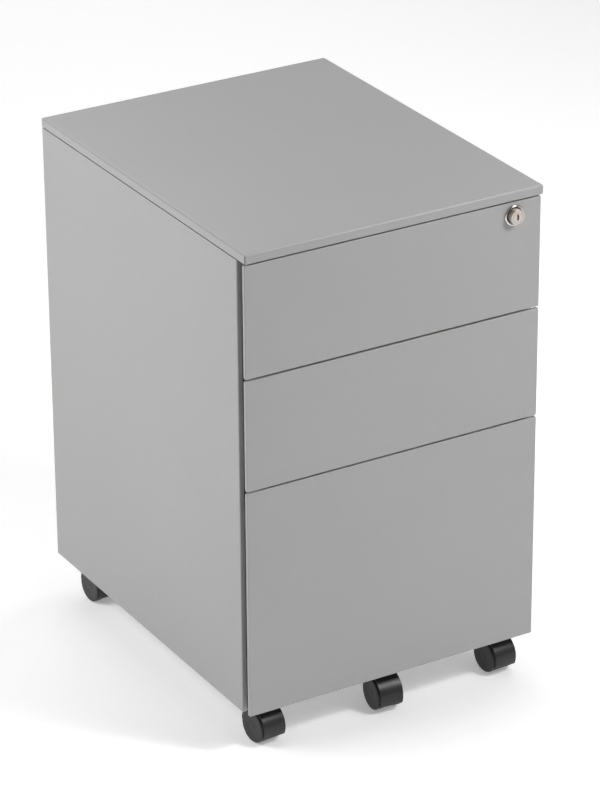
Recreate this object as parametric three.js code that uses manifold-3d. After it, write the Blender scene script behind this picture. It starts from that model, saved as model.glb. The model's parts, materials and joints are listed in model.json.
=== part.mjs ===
// Rolling pedestal cabinet in folded sheet steel: three drawers, a central lock and five castors.
// Millimetres, +Z up, the front faces -Y, and the origin is on the floor under the cabinet's middle.

import * as THREE from 'three';
import { mergeVertices } from 'three/addons/utils/BufferGeometryUtils.js';
import Module from 'manifold-3d';

const wasm = await Module();
wasm.setup();

// ---------------------------------------------------------------- driving dimensions

const WIDTH = 380;
const DEPTH = 470;
const HEIGHT = 615;
const CARCASS_BOTTOM = 50;
const SHEET = 1;
const GAP = 0.3;

const COVER_DEPTH = 11.8;
const COVER_RETURN = 14;
const COVER_CORNER = 1.4;
const COVER_SEAM = 0.5;

const SIDE_SETBACK = 18.7;
const SIDE_OUTER = WIDTH / 2 - GAP;
const SIDE_INNER = SIDE_OUTER - SHEET;
const SIDE_FRONT = -DEPTH / 2 + SIDE_SETBACK;
const SIDE_TOP = HEIGHT - COVER_DEPTH - COVER_SEAM;
const FRONT_FLANGE = 6;
const SIDE_FLANGE = 12;

const FACE_SETBACK = 3.2;
const FACE_Y = -DEPTH / 2 + FACE_SETBACK;
const FRONT_HALF_WIDTH = 189.2;
const FRONT_THICKNESS = 4.8;
const FRONT_BACK_Y = FACE_Y + FRONT_THICKNESS;
const FRONT_CORNER = 1.6;
const FRONT_RETURN = 12.9;

const BOX_HALF_WIDTH = 176;
const BOX_BACK_Y = 200;
const BOX_HEM = 6;
const BOX_WALL_MARGIN = 5;

// Heights from the floor: of the fronts, the boxes, the runners' middles and the lock bar's catches.
const DRAWERS = [
  {
    name: 'drawer_1',
    frontBottom: 467.45,
    frontTop: 600.9,
    boxBottom: 478,
    boxTop: 548,
    runnerZ: 505,
    catchZ: 525,
  },
  {
    name: 'drawer_2',
    frontBottom: 332.25,
    frontTop: 465.15,
    boxBottom: 343,
    boxTop: 428,
    runnerZ: 372,
    catchZ: 400,
  },
  {
    name: 'drawer_3',
    frontBottom: 50.8,
    frontTop: 330.15,
    boxBottom: 62,
    boxTop: 300,
    runnerZ: 96,
    catchZ: 150,
  },
];

const LIGHT_RUNNER = { outer: 24, inner: 18 };
const FILE_RUNNER = { outer: 45, middle: 38, inner: 28 };
const RUNNER_FRONT_Y = -203;
const RUNNER_BACK_Y = 192;
const RUNNER_LEAD = 11.5;
const RUNNER_SHEET = 1.2;
const PASSAGE_HALF_WIDTH = SIDE_OUTER - FRONT_FLANGE - 0.5;

const FILE_RAIL_X = 165;
const FILE_RAIL_THICKNESS = 3;
const FILE_RAIL_HEIGHT = 12;

const LOCK_X = 153.5;
const LOCK_Z = 585.2;
const LOCK_FRONT_Y = -239.8;
const LOCK_BACK_Y = -200.5;
const BARREL_RADIUS = 9;
const PLUG_RADIUS = 6.4;
const BEZEL_RADIUS = 12.5;
const CRANK_RADIUS = 8.5;
const CRANK_PIN_RADIUS = 1.8;
const CRANK_REST_ANGLE = -Math.PI / 4;
const LOCK_BAR_X = [184.5, 187.5];
const LOCK_BAR_Y = [-214, -206];
const LOCK_HEAD_Y = [-194.5, -192];
const CATCH_HEIGHT = 8;

const WHEEL_RADIUS = 20;
const WHEEL_OUTER_X = 16.5;
const WHEEL_INNER_X = 6.9;
const HOOD_HALF_WIDTH = 14.4;
const HOOD_RADIUS = 22.6;
const HOOD_INNER_RADIUS = 20.6;
const HOOD_FRONT_ANGLE = THREE.MathUtils.degToRad(206);
const TRAIL = 16;
const STEM_RADIUS = 4;
const BOSS_RADIUS = 6.2;
const BOSS_TOP = 44.5;
const AXLE_RADIUS = 2;
const RUNNING_CLEARANCE = 0.3;
const PLATE_THICKNESS = 1.7;
const PLATE_SIZE = 36;

const CASTORS = [
  { name: 'castor_front_left', x: -156.5, y: -187, turn: 5.5 },
  { name: 'castor_front_right', x: 156.5, y: -187, turn: 3.5 },
  { name: 'castor_front_centre', x: 0, y: -195, turn: -3.5 },
  { name: 'castor_back_left', x: -156.5, y: 205, turn: 3 },
  { name: 'castor_back_right', x: 156.5, y: 205, turn: -2 },
];
const CENTRE_CASTOR = CASTORS[2];
const NOTCH_HALF_WIDTH = 30;
const NOTCH_BACK_Y = -168;

// ---------------------------------------------------------------- materials

const paint = { color: 0xaeaeae, roughness: 0.45, metalness: 0.2 };
const innerPaint = { color: 0xa4a4a4, roughness: 0.5, metalness: 0.2 };
const zinc = { color: 0xc4c8cc, roughness: 0.35, metalness: 0.9 };
const chrome = { color: 0xe6e6e6, roughness: 0.1, metalness: 1 };
const nickel = { color: 0xbdb3aa, roughness: 0.3, metalness: 0.9 };
const castorPlastic = { color: 0x2e2e2e, roughness: 0.5, metalness: 0 };
const steelPin = { color: 0x8d9196, roughness: 0.35, metalness: 0.9 };

const cabinet = new THREE.Group();

function addMesh(name, geometry, material, parent = cabinet) {
  const mesh = new THREE.Mesh(geometry, new THREE.MeshStandardMaterial(material));
  mesh.name = name;
  parent.add(mesh);
  return mesh;
}

// ---------------------------------------------------------------- shape helpers

function toSolid(geometry) {
  const bare = geometry.clone();
  bare.deleteAttribute('normal');
  bare.deleteAttribute('uv');
  const merged = mergeVertices(bare, 1e-4);
  return new wasm.Manifold(new wasm.Mesh({
    numProp: 3,
    vertProperties: new Float32Array(merged.attributes.position.array),
    triVerts: new Uint32Array(merged.index.array),
  }));
}

function toGeometry(solid) {
  const mesh = solid.getMesh();
  const geometry = new THREE.BufferGeometry();
  geometry.setAttribute('position', new THREE.BufferAttribute(mesh.vertProperties, 3));
  geometry.setIndex(new THREE.BufferAttribute(mesh.triVerts, 1));
  geometry.computeVertexNormals();
  return geometry;
}

function shapeFrom({ add, remove = [] }) {
  let solid = toSolid(add[0]);
  for (const geometry of add.slice(1)) solid = solid.add(toSolid(geometry));
  for (const geometry of remove) solid = solid.subtract(toSolid(geometry));
  return toGeometry(solid);
}

function block([x0, x1], [y0, y1], [z0, z1]) {
  const geometry = new THREE.BoxGeometry(Math.abs(x1 - x0), y1 - y0, z1 - z0);
  return geometry.translate((x0 + x1) / 2, (y0 + y1) / 2, (z0 + z1) / 2);
}

function uprightRod(x, y, radius, [z0, z1], segments = 24) {
  const geometry = new THREE.CylinderGeometry(radius, radius, z1 - z0, segments);
  return geometry.rotateX(Math.PI / 2).translate(x, y, (z0 + z1) / 2);
}

function depthRod(x, z, radius, [y0, y1], segments = 32) {
  const geometry = new THREE.CylinderGeometry(radius, radius, y1 - y0, segments);
  return geometry.translate(x, (y0 + y1) / 2, z);
}

function crossRod(y, z, radius, [x0, x1], segments = 20) {
  const geometry = new THREE.CylinderGeometry(radius, radius, x1 - x0, segments);
  return geometry.rotateZ(Math.PI / 2).translate((x0 + x1) / 2, y, z);
}

function roundedRectangle([u0, u1], [v0, v1], radius) {
  const shape = new THREE.Shape();
  shape.absarc(u1 - radius, v1 - radius, radius, 0, Math.PI / 2, false);
  shape.absarc(u0 + radius, v1 - radius, radius, Math.PI / 2, Math.PI, false);
  shape.absarc(u0 + radius, v0 + radius, radius, Math.PI, 1.5 * Math.PI, false);
  shape.absarc(u1 - radius, v0 + radius, radius, 1.5 * Math.PI, 2 * Math.PI, false);
  return shape;
}

function extrudeUp(shape, [z0, z1], curveSegments = 5) {
  const geometry = new THREE.ExtrudeGeometry(shape, { depth: z1 - z0, bevelEnabled: false, curveSegments });
  return geometry.translate(0, 0, z0);
}

// The shape is drawn in X and Z and runs along Y.
function extrudeAlongY(shape, [y0, y1], curveSegments = 5) {
  const geometry = new THREE.ExtrudeGeometry(shape, { depth: y1 - y0, bevelEnabled: false, curveSegments });
  return geometry.rotateX(Math.PI / 2).translate(0, y1, 0);
}

// The shape is drawn in Y and Z and runs along X, centred on X = 0.
function extrudeAcross(shape, width, curveSegments = 28) {
  const geometry = new THREE.ExtrudeGeometry(shape, { depth: width, bevelEnabled: false, curveSegments });
  const toCross = new THREE.Matrix4().makeBasis(
    new THREE.Vector3(0, 1, 0),
    new THREE.Vector3(0, 0, 1),
    new THREE.Vector3(1, 0, 0),
  );
  return geometry.applyMatrix4(toCross).translate(-width / 2, 0, 0);
}

function polygon(points) {
  return new THREE.Shape(points.map(([u, v]) => new THREE.Vector2(u, v)));
}

// A block given for the right-hand side, mirrored to the left when side is -1.
function sideBlock(side, [x0, x1], yRange, zRange) {
  return side > 0 ? block([x0, x1], yRange, zRange) : block([-x1, -x0], yRange, zRange);
}

// ---------------------------------------------------------------- carcass

function topCover() {
  const halfWidth = WIDTH / 2;
  const halfDepth = DEPTH / 2;
  const bottom = HEIGHT - COVER_DEPTH;
  const outline = roundedRectangle([-halfWidth, halfWidth], [-halfDepth, halfDepth], COVER_CORNER);
  const inside = block(
    [-halfWidth + SHEET, halfWidth - SHEET],
    [-halfDepth + SHEET, halfDepth - SHEET],
    [bottom + SHEET, HEIGHT - SHEET],
  );
  const mouth = block(
    [-halfWidth + COVER_RETURN, halfWidth - COVER_RETURN],
    [-halfDepth + COVER_RETURN, halfDepth - COVER_RETURN],
    [bottom - SHEET, HEIGHT - 2 * SHEET],
  );
  return shapeFrom({ add: [extrudeUp(outline, [bottom, HEIGHT])], remove: [inside, mouth] });
}

// A channel seen from above, folded inwards at the front and the back, with a flange at each end.
function sidePanel(side) {
  const back = DEPTH / 2;
  const flangeStart = SIDE_OUTER - SIDE_FLANGE;
  const bottomFlange = CARCASS_BOTTOM + SHEET + GAP;
  const outline = [
    [SIDE_OUTER, SIDE_FRONT],
    [SIDE_OUTER, back],
    [flangeStart, back],
    [flangeStart, back - SHEET],
    [SIDE_INNER, back - SHEET],
    [SIDE_INNER, SIDE_FRONT + SHEET],
    [SIDE_OUTER - FRONT_FLANGE, SIDE_FRONT + SHEET],
    [SIDE_OUTER - FRONT_FLANGE, SIDE_FRONT],
  ];
  const web = extrudeUp(polygon(outline.map(([x, y]) => [side * x, y])), [CARCASS_BOTTOM, SIDE_TOP]);
  const flangeX = [flangeStart, SIDE_INNER + SHEET / 2];
  const flangeY = [SIDE_FRONT + SHEET / 2, back - SHEET / 2];
  return shapeFrom({
    add: [
      web,
      sideBlock(side, flangeX, flangeY, [SIDE_TOP - SHEET - GAP, SIDE_TOP - GAP]),
      sideBlock(side, flangeX, flangeY, [bottomFlange, bottomFlange + SHEET]),
    ],
  });
}

function backPanel() {
  const halfWidth = SIDE_INNER - GAP;
  const back = DEPTH / 2 - SHEET - GAP;
  return block([-halfWidth, halfWidth], [back - SHEET, back], [CARCASS_BOTTOM + 3, SIDE_TOP - 1.5]);
}

function baseTray() {
  const halfWidth = SIDE_INNER - GAP;
  const front = SIDE_FRONT;
  const back = DEPTH / 2 - 2 * SHEET - 2 * GAP;
  const top = CARCASS_BOTTOM + SHEET;
  const lipTop = top + 8;
  const lipX = [-SIDE_OUTER + SIDE_FLANGE + 0.5, SIDE_OUTER - SIDE_FLANGE - 0.5];
  const notchX = [-NOTCH_HALF_WIDTH, NOTCH_HALF_WIDTH];
  return shapeFrom({
    add: [
      block([-halfWidth, halfWidth], [front + SHEET + GAP, back], [CARCASS_BOTTOM, top]),
      block(lipX, [front, front + 2 * SHEET], [CARCASS_BOTTOM, top]),
      block(lipX, [front, front + SHEET], [CARCASS_BOTTOM, lipTop]),
      block(lipX, [back - SHEET, back], [CARCASS_BOTTOM, lipTop]),
    ],
    remove: [block(notchX, [front - 1, NOTCH_BACK_Y], [CARCASS_BOTTOM - 1, lipTop + 1])],
  });
}

function frontTopRail() {
  const halfWidth = SIDE_OUTER - FRONT_FLANGE - 0.4;
  const top = SIDE_TOP - SHEET - 0.7;
  const bottom = 558;
  const across = [-halfWidth, halfWidth];
  return shapeFrom({
    add: [
      block(across, [SIDE_FRONT, SIDE_FRONT + SHEET], [bottom, top]),
      block(across, [SIDE_FRONT, SIDE_FRONT + 20], [top - SHEET, top]),
      block(across, [SIDE_FRONT, SIDE_FRONT + 10], [bottom, bottom + SHEET]),
    ],
    remove: [depthRod(LOCK_X, LOCK_Z, BARREL_RADIUS + GAP, [SIDE_FRONT - 2, SIDE_FRONT + 4])],
  });
}

addMesh('top_cover', topCover(), paint);
addMesh('left_side', sidePanel(-1), paint);
addMesh('right_side', sidePanel(1), paint);
addMesh('back_panel', backPanel(), paint);
addMesh('base_tray', baseTray(), paint);
addMesh('front_top_rail', frontTopRail(), paint);

// ---------------------------------------------------------------- drawers

function drawerFront({ frontBottom, frontTop, name }) {
  const across = [-FRONT_HALF_WIDTH, FRONT_HALF_WIDTH];
  const outline = roundedRectangle(across, [frontBottom, frontTop], FRONT_CORNER);
  const inside = block(
    [-FRONT_HALF_WIDTH + SHEET, FRONT_HALF_WIDTH - SHEET],
    [FACE_Y + SHEET, FRONT_BACK_Y - SHEET],
    [frontBottom + SHEET, frontTop - SHEET],
  );
  const mouth = block(
    [-FRONT_HALF_WIDTH + FRONT_RETURN, FRONT_HALF_WIDTH - FRONT_RETURN],
    [FACE_Y + 2 * SHEET, FRONT_BACK_Y + SHEET],
    [frontBottom + FRONT_RETURN, frontTop - FRONT_RETURN],
  );
  const remove = [inside, mouth];
  if (name === 'drawer_1') {
    remove.push(depthRod(LOCK_X, LOCK_Z, BARREL_RADIUS + GAP, [FACE_Y - 2, FRONT_BACK_Y + 2]));
  }
  return shapeFrom({ add: [extrudeAlongY(outline, [FACE_Y, FRONT_BACK_Y])], remove });
}

function drawerBox({ boxBottom, boxTop, frontBottom, frontTop, catchZ, name }) {
  const front = FRONT_BACK_Y + GAP;
  const outerX = [-BOX_HALF_WIDTH, BOX_HALF_WIDTH];
  const innerX = [-BOX_HALF_WIDTH + SHEET, BOX_HALF_WIDTH - SHEET];
  const innerY = [front + SHEET, BOX_BACK_Y - SHEET];
  const tray = block(outerX, [front, BOX_BACK_Y], [boxBottom, boxTop]);
  const hollow = block(innerX, innerY, [boxBottom + SHEET, boxTop - SHEET]);
  const mouth = block(
    [-BOX_HALF_WIDTH + BOX_HEM, BOX_HALF_WIDTH - BOX_HEM],
    [front + SHEET, BOX_BACK_Y - BOX_HEM],
    [boxTop - 2 * SHEET, boxTop + SHEET],
  );
  const shell = shapeFrom({ add: [tray], remove: [hollow, mouth] });
  const wallZ = [frontBottom + BOX_WALL_MARGIN, frontTop - BOX_WALL_MARGIN];
  const frontWall = block(outerX, [front, front + SHEET], wallZ);
  const tabX = [BOX_HALF_WIDTH - SHEET, PASSAGE_HALF_WIDTH];
  const catchTab = block(tabX, [-204, -201], [catchZ + 10, catchZ + 20]);
  const remove = [];
  if (name === 'drawer_1') {
    remove.push(depthRod(LOCK_X, LOCK_Z, BARREL_RADIUS + 1.5, [front - 2, front + 4]));
  }
  return shapeFrom({ add: [shell, frontWall, catchTab], remove });
}

for (const drawer of DRAWERS) {
  addMesh(`${drawer.name}_front`, drawerFront(drawer), paint);
  addMesh(`${drawer.name}_box`, drawerBox(drawer), innerPaint);
}

function fileRail(side) {
  const top = DRAWERS[2].boxTop;
  const front = FRONT_BACK_Y + SHEET + 2 * GAP;
  return sideBlock(
    side,
    [FILE_RAIL_X - FILE_RAIL_THICKNESS / 2, FILE_RAIL_X + FILE_RAIL_THICKNESS / 2],
    [front, BOX_BACK_Y - BOX_HEM - GAP],
    [top - FILE_RAIL_HEIGHT, top],
  );
}

addMesh('file_rail_left', fileRail(-1), zinc);
addMesh('file_rail_right', fileRail(1), zinc);

// ---------------------------------------------------------------- runners

// A channel with its web at webX and its two flanges reaching to lipX, both measured from the middle.
function channel(side, webX, lipX, centreZ, height, yRange) {
  const inward = Math.sign(lipX - webX) * RUNNER_SHEET;
  const top = centreZ + height / 2;
  const bottom = centreZ - height / 2;
  const outline = [
    [webX, bottom],
    [lipX, bottom],
    [lipX, bottom + RUNNER_SHEET],
    [webX + inward, bottom + RUNNER_SHEET],
    [webX + inward, top - RUNNER_SHEET],
    [lipX, top - RUNNER_SHEET],
    [lipX, top],
    [webX, top],
  ];
  return extrudeAlongY(polygon(outline.map(([x, z]) => [side * x, z])), yRange);
}

const fixedWebX = SIDE_INNER - GAP;
const fixedLipX = 179;
const movingWebX = BOX_HALF_WIDTH + 0.4;
const sides = [
  { side: -1, label: 'left' },
  { side: 1, label: 'right' },
];

for (const drawer of DRAWERS) {
  const sizes = drawer.name === 'drawer_3' ? FILE_RUNNER : LIGHT_RUNNER;
  const fixedRange = [RUNNER_FRONT_Y, RUNNER_BACK_Y];
  const movingRange = [RUNNER_FRONT_Y - RUNNER_LEAD, RUNNER_BACK_Y - RUNNER_LEAD];
  for (const { side, label } of sides) {
    const fixed = channel(side, fixedWebX, fixedLipX, drawer.runnerZ, sizes.outer, fixedRange);
    addMesh(`${drawer.name}_runner_fixed_${label}`, fixed, zinc);
    if (sizes.middle) {
      const middleRange = [RUNNER_FRONT_Y - 5, RUNNER_BACK_Y - 5];
      const middle = channel(side, PASSAGE_HALF_WIDTH, 178.6, drawer.runnerZ, sizes.middle, middleRange);
      addMesh(`${drawer.name}_runner_middle_${label}`, middle, zinc);
    }
    const lipX = sizes.middle ? PASSAGE_HALF_WIDTH - 1.7 : PASSAGE_HALF_WIDTH;
    const moving = channel(side, movingWebX, lipX, drawer.runnerZ, sizes.inner, movingRange);
    addMesh(`${drawer.name}_runner_moving_${label}`, moving, zinc);
  }
}

// ---------------------------------------------------------------- lock

function lockBezel() {
  const back = FACE_Y - GAP;
  const inner = BARREL_RADIUS + GAP;
  const profile = [
    [inner, 0],
    [BEZEL_RADIUS, 0],
    [BEZEL_RADIUS - 0.2, 0.8],
    [BEZEL_RADIUS - 0.9, 1.5],
    [BEZEL_RADIUS - 1.9, 1.8],
    [inner, 1.4],
    [inner, 0],
  ];
  const points = profile.map(([radius, height]) => new THREE.Vector2(radius, height));
  return new THREE.LatheGeometry(points, 40).rotateZ(Math.PI).translate(LOCK_X, back, LOCK_Z);
}

function lockBarrel() {
  return shapeFrom({
    add: [depthRod(LOCK_X, LOCK_Z, BARREL_RADIUS, [LOCK_FRONT_Y, LOCK_BACK_Y])],
    remove: [depthRod(LOCK_X, LOCK_Z, PLUG_RADIUS + RUNNING_CLEARANCE, [LOCK_FRONT_Y - 1, LOCK_BACK_Y + 1])],
  });
}

function lockPlug() {
  const keyDepth = [LOCK_FRONT_Y - 1, LOCK_FRONT_Y + 9];
  return shapeFrom({
    add: [depthRod(LOCK_X, LOCK_Z, PLUG_RADIUS, [LOCK_FRONT_Y, LOCK_BACK_Y + 1.7])],
    remove: [
      depthRod(LOCK_X, LOCK_Z + 1.2, 1.1, keyDepth, 12),
      depthRod(LOCK_X, LOCK_Z - 1.2, 1.1, keyDepth, 12),
      block([LOCK_X - 0.7, LOCK_X + 0.7], keyDepth, [LOCK_Z - 1.9, LOCK_Z + 1.9]),
    ],
  });
}

function crankPinCentre() {
  return [
    LOCK_X + CRANK_RADIUS * Math.cos(CRANK_REST_ANGLE),
    LOCK_Z + CRANK_RADIUS * Math.sin(CRANK_REST_ANGLE),
  ];
}

function lockCam() {
  const plate = [LOCK_BACK_Y + 2, LOCK_BACK_Y + 4.5];
  const [pinX, pinZ] = crankPinCentre();
  const arm = block([0, CRANK_RADIUS], plate, [-3, 3]);
  arm.rotateY(-CRANK_REST_ANGLE).translate(LOCK_X, 0, LOCK_Z);
  return shapeFrom({
    add: [
      depthRod(LOCK_X, LOCK_Z, 5.5, plate, 24),
      arm,
      depthRod(pinX, pinZ, 3, plate, 20),
      depthRod(pinX, pinZ, CRANK_PIN_RADIUS, [plate[0], LOCK_HEAD_Y[1] + 1.5], 16),
    ],
  });
}

function lockBar() {
  const [pinX, pinZ] = crankPinCentre();
  const headZ = [pinZ - 7, pinZ + 7];
  const slotX = [pinX - CRANK_PIN_RADIUS - 0.7, LOCK_X + CRANK_RADIUS + CRANK_PIN_RADIUS + 0.7];
  const slotY = [LOCK_HEAD_Y[0] - 1, LOCK_HEAD_Y[1] + 1];
  const slotHalfHeight = CRANK_PIN_RADIUS + 0.8;
  const catches = DRAWERS.map(({ catchZ }) => (
    block([178, LOCK_BAR_X[1]], LOCK_BAR_Y, [catchZ, catchZ + CATCH_HEIGHT])
  ));
  return shapeFrom({
    add: [
      block(LOCK_BAR_X, LOCK_BAR_Y, [130, headZ[1]]),
      block(LOCK_BAR_X, [LOCK_BAR_Y[0], LOCK_HEAD_Y[1]], headZ),
      block([LOCK_X - 1, LOCK_BAR_X[1]], LOCK_HEAD_Y, headZ),
      ...catches,
    ],
    remove: [block(slotX, slotY, [pinZ - slotHalfHeight, pinZ + slotHalfHeight])],
  });
}

addMesh('lock_bezel', lockBezel(), chrome);
addMesh('lock_barrel', lockBarrel(), nickel);
addMesh('lock_plug', lockPlug(), nickel);
addMesh('lock_cam', lockCam(), zinc);
addMesh('lock_bar', lockBar(), zinc);

// ---------------------------------------------------------------- castors

function castorMount(isCentre) {
  const plateTop = CARCASS_BOTTOM - GAP;
  const half = PLATE_SIZE / 2;
  const outline = roundedRectangle([-half, half], [-half, half], 4);
  const plate = extrudeUp(outline, [plateTop - PLATE_THICKNESS, plateTop]);
  const collar = uprightRod(0, 0, 9, [plateTop - PLATE_THICKNESS - 2, plateTop - PLATE_THICKNESS + 0.5]);
  const stem = uprightRod(0, 0, STEM_RADIUS, [14, plateTop - 0.5], 20);
  const add = [plate, collar, stem];
  if (isCentre) {
    const bracketTop = DRAWERS[2].boxBottom - GAP;
    for (const side of [-1, 1]) {
      add.push(sideBlock(side, [half - 2, half], [-half + 4, half - 4], [plateTop - 1, bracketTop]));
      add.push(sideBlock(side, [half - 2, half + 8], [-half + 4, half - 4], [bracketTop - 2, bracketTop]));
    }
  }
  return shapeFrom({ add });
}

function castorHood() {
  const shellOutline = new THREE.Shape();
  shellOutline.absarc(-TRAIL, WHEEL_RADIUS, HOOD_RADIUS, 0, HOOD_FRONT_ANGLE, false);
  shellOutline.absarc(-TRAIL, WHEEL_RADIUS, HOOD_INNER_RADIUS, HOOD_FRONT_ANGLE, 0, true);
  const bodyOutline = new THREE.Shape();
  const bodyDip = THREE.MathUtils.degToRad(25);
  bodyOutline.absarc(-TRAIL, WHEEL_RADIUS, HOOD_INNER_RADIUS + 0.5, -bodyDip, Math.PI + bodyDip, false);
  return shapeFrom({
    add: [
      extrudeAcross(shellOutline, 2 * HOOD_HALF_WIDTH),
      extrudeAcross(bodyOutline, 2 * BOSS_RADIUS, 20),
      uprightRod(0, 0, BOSS_RADIUS, [12.5, BOSS_TOP]),
    ],
    remove: [
      uprightRod(0, 0, STEM_RADIUS + RUNNING_CLEARANCE, [13.5, BOSS_TOP + 1], 20),
      crossRod(-TRAIL, WHEEL_RADIUS, AXLE_RADIUS + RUNNING_CLEARANCE, [-8, 8], 16),
    ],
  });
}

// The wheel turns about X; its closed face looks towards +X, and the pin enters from the other side.
function castorWheel() {
  const bore = AXLE_RADIUS + RUNNING_CLEARANCE;
  const profile = [
    [0, WHEEL_OUTER_X],
    [WHEEL_RADIUS - 2.2, WHEEL_OUTER_X - 0.3],
    [WHEEL_RADIUS - 0.8, WHEEL_OUTER_X - 0.9],
    [WHEEL_RADIUS, WHEEL_OUTER_X - 2.2],
    [WHEEL_RADIUS, WHEEL_INNER_X + 0.8],
    [WHEEL_RADIUS - 0.8, WHEEL_INNER_X],
    [bore, WHEEL_INNER_X],
    [bore, WHEEL_OUTER_X - 2],
    [0, WHEEL_OUTER_X - 2],
  ];
  const points = profile.map(([radius, along]) => new THREE.Vector2(radius, along)).reverse();
  return new THREE.LatheGeometry(points, 32).rotateZ(-Math.PI / 2);
}

for (const castor of CASTORS) {
  const stand = new THREE.Group();
  stand.position.set(castor.x, castor.y, 0);
  cabinet.add(stand);
  addMesh(`${castor.name}_mount`, castorMount(castor === CENTRE_CASTOR), steelPin, stand);

  const swivel = new THREE.Group();
  swivel.rotation.z = THREE.MathUtils.degToRad(castor.turn);
  stand.add(swivel);
  addMesh(`${castor.name}_hood`, castorHood(), castorPlastic, swivel);
  const pinEnd = WHEEL_OUTER_X - 2 - RUNNING_CLEARANCE;
  const axle = crossRod(-TRAIL, WHEEL_RADIUS, AXLE_RADIUS, [-pinEnd, pinEnd]);
  addMesh(`${castor.name}_axle`, axle, steelPin, swivel);

  for (const { side, label } of sides) {
    const wheel = addMesh(`${castor.name}_wheel_${label}`, castorWheel(), castorPlastic, swivel);
    wheel.position.set(0, -TRAIL, WHEEL_RADIUS);
    if (side < 0) wheel.rotation.z = Math.PI;
  }
}

export default cabinet;
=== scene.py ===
"""Rolling pedestal cabinet: the visible pieces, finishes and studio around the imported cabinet."""

import json
import math

import bmesh
import bpy
from mathutils import Matrix, Vector


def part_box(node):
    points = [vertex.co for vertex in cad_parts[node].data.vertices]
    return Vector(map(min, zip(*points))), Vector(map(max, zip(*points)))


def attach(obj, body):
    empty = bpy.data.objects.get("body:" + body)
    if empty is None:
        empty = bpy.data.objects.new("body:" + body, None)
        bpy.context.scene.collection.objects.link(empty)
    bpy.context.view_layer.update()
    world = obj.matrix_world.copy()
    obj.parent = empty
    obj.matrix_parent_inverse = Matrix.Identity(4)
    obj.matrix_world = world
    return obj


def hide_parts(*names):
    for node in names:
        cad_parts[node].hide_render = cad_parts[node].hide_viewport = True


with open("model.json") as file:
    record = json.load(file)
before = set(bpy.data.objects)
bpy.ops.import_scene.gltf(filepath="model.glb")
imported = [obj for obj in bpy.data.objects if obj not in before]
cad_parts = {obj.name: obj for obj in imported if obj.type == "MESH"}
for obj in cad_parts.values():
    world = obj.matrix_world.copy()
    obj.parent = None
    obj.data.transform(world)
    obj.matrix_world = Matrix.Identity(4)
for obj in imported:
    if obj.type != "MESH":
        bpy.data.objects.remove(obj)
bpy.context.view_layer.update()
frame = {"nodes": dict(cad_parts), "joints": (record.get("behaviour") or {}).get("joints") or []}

bl_info = {
    "name": "Rolling pedestal cabinet",
    "version": (1, 0, 0),
    "blender": (4, 5, 0),
    "location": "3D View > Sidebar > Pedestal",
    "description": "Builds the visible pieces of a steel drawer pedestal on castors",
    "category": "Object",
}

MM = 0.001
DRAWERS = ("drawer_1", "drawer_2", "drawer_3")
SIDES = ("left", "right")
CASTORS = (
    "castor_front_left",
    "castor_front_right",
    "castor_front_centre",
    "castor_back_left",
    "castor_back_right",
)
JOINTS = {joint["name"]: joint for joint in frame["joints"]}

# Folded sheet: how far the edges are turned in, where a side's end flanges sit and how they are mitred,
# and how far a cover corner's slit reaches in and out.
COVER_RETURN = 14 * MM
FRONT_RETURN = 12.9 * MM
SIDE_FRONT_RETURN = 6 * MM
END_FLANGE_SETBACK = 1.3 * MM
FLANGE_MITRE = 3 * MM
SLIT_IN = 5 * MM
SLIT_OUT = 2 * MM

# Castor mouldings. The wheel's outer and inner faces and the half widths lie along the axle, from its
# middle. The hood's and the wheel bore's radii are about the axle, and the boss's and the stem bore's
# about the stem. The dish is how far the wheel's face is sunk. The bottoms are heights above the floor.
WHEEL_OUTER = 16.5 * MM
WHEEL_INNER = 6.9 * MM
WHEEL_BORE = 2.3 * MM
WHEEL_DISH = 0.4 * MM
HOOD_HALF_WIDTH = 14.4 * MM
HOOD_RADIUS = 22.6 * MM
HOOD_INNER_RADIUS = 20.6 * MM
HOOD_FRONT_ANGLE = 206
HOOD_BODY_HALF_WIDTH = 6.2 * MM
BOSS_RADIUS = 6.2 * MM
BOSS_BOTTOM = 12.5 * MM
STEM_BORE_RADIUS = 4.3 * MM
STEM_BORE_BOTTOM = 13.5 * MM

# The lock's nut, and the keyway's outline in millimetres.
NUT_RADIUS = 12.6 * MM
NUT_HEIGHT = 3.5 * MM
NUT_SEAT = 1.02 * MM
KEYWAY = ((-1, 3.6), (1, 3.6), (1, 1.5), (1.45, 0.9), (1.45, -0.9), (1, -1.5), (1, -3.6), (-1, -3.6),
          (-1, -0.4), (-0.5, 0.1), (-1, 0.6))
KEYWAY_DEPTH = 9 * MM

# Fasteners' places, and the bumpers' profile.
BACK_SCREW_HEIGHTS = (90 * MM, 330 * MM, 575 * MM)
CASTOR_SCREW_OFFSET = 13.5 * MM
CASTOR_PLATE_BOTTOM = 48 * MM
RIVET_DEPTHS = (-180 * MM, 0, 150 * MM)
BOX_INNER_WALL = 175 * MM
CLIP_LENGTH = 16 * MM
BUMPER_ACROSS = 120 * MM
BUMPER_HEIGHT = 590 * MM
BUMPER_PROFILE = ((0, 0), (5 * MM, 0), (5 * MM, 6.5 * MM), (4.6 * MM, 7.9 * MM), (3.4 * MM, 8.7 * MM),
                  (0, 8.9 * MM))

# A ball row's sizes: ball radius, place across, rise from the runner's middle, front, back, cage web.
LIGHT_CAGE = (0.85 * MM, 181.1 * MM, 9.9 * MM, -200 * MM, -115 * MM, 184.6 * MM)
FILE_OUTER_CAGE = (1.05 * MM, 181 * MM, 20.15 * MM, -200 * MM, -60 * MM, 184.6 * MM)
FILE_INNER_CAGE = (1.8 * MM, 180 * MM, 15.9 * MM, -205 * MM, -70 * MM, None)
BALLS_PER_ROW = 9

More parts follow.
